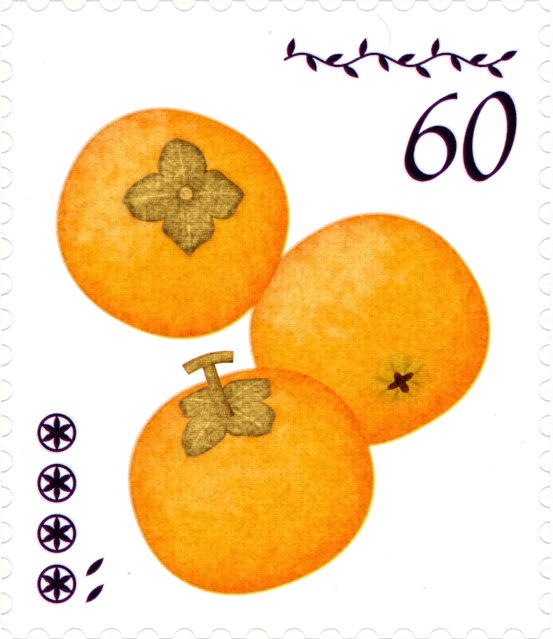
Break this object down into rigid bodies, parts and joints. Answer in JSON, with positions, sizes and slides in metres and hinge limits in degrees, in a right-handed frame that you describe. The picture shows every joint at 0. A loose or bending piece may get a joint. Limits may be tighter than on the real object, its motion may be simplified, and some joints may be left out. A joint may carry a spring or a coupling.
{
  "type": "postage stamp",
  "caption": "Small rectangular gummed paper stamp with a punched edge all round, lying face up, printed with round orange fruit, a plain value, a garland and small ornaments.",
  "frame": {"origin": "centre of the gummed back, on the surface that the stamp lies on", "axes": "+Z out of the printed face, +Y towards the top of the picture, +X towards its right side"},
  "size_m": [0.0232, 0.027, 0.0001],
  "materials": {
    "gum": "thin dried clear gum, slightly glossy",
    "paper": "white coated printing paper with a torn, fibrous punched edge",
    "orange_ink": "halftone-printed orange, matt",
    "olive_ink": "halftone-printed olive, matt",
    "brown_ink": "halftone-printed brown, matt",
    "purple_ink": "solid dark purple line ink, slightly glossy"
  },
  "bodies": {
    "root": {"gum_film": "gum", "paper_sheet": "paper", "right_fruit_ink": "orange_ink", "right_tip_ink": "brown_ink", "left_fruit_ink": "orange_ink", "left_calyx_ink": "olive_ink", "left_stem_ink": "brown_ink", "front_fruit_ink": "orange_ink", "front_calyx_ink": "olive_ink", "front_twig_ink": "brown_ink", "numeral_six_ink": "purple_ink", "numeral_zero_ink": "purple_ink", "garland_ink": "purple_ink", "rosette_1_ink": "purple_ink", "rosette_2_ink": "purple_ink", "rosette_3_ink": "purple_ink", "rosette_4_ink": "purple_ink", "small_leaf_1_ink": "purple_ink", "small_leaf_2_ink": "purple_ink"}
  },
  "joints": []
}
